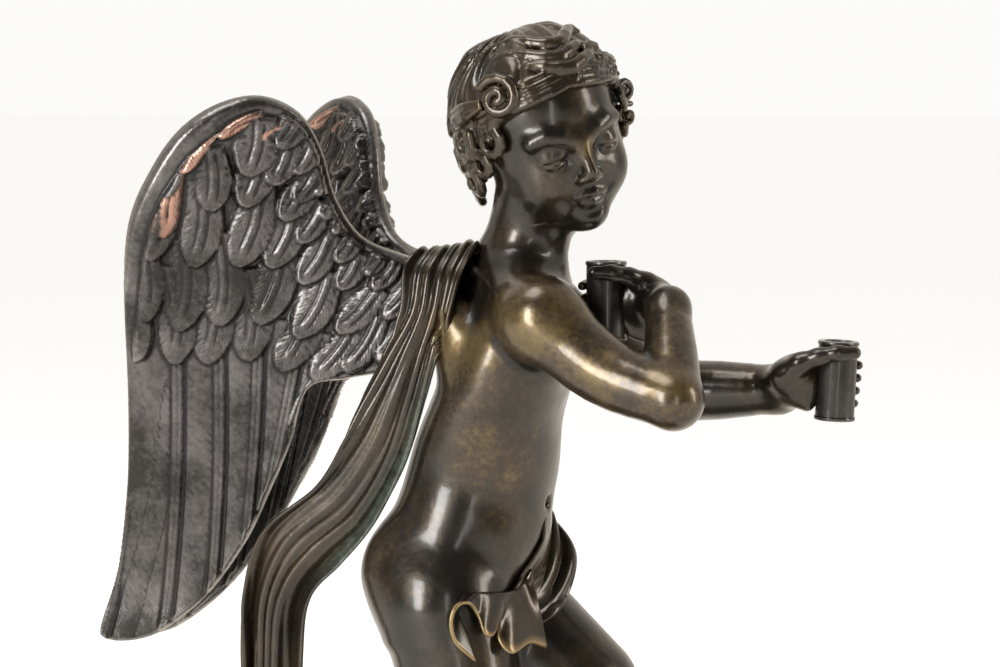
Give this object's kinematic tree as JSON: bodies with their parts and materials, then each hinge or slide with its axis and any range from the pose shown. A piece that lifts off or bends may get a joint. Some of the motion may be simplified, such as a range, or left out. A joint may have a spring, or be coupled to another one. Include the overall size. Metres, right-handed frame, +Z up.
{
  "type": "bronze winged figure",
  "caption": "Small dark bronze of a winged boy who strides forward with a scarf and loin cloth and holds up hollow sleeves, on a low round plinth.",
  "frame": {"origin": "centre of the plinth's underside, on the surface that it stands on", "axes": "+Z up, -Y the way the figure strides, +X the figure's left"},
  "size_m": [0.146, 0.211, 0.313],
  "materials": {
    "figure_bronze": "dark brown-black patina, glossy, rubbed to golden brown and copper on the ridges",
    "sleeve_bronze": "dark brown patina, satin",
    "plinth_bronze": "dark brown-black patina, satin"
  },
  "bodies": {
    "root": {"figure": "figure_bronze", "right_sleeve": "sleeve_bronze", "left_sleeve": "sleeve_bronze", "plinth": "plinth_bronze"}
  },
  "joints": []
}
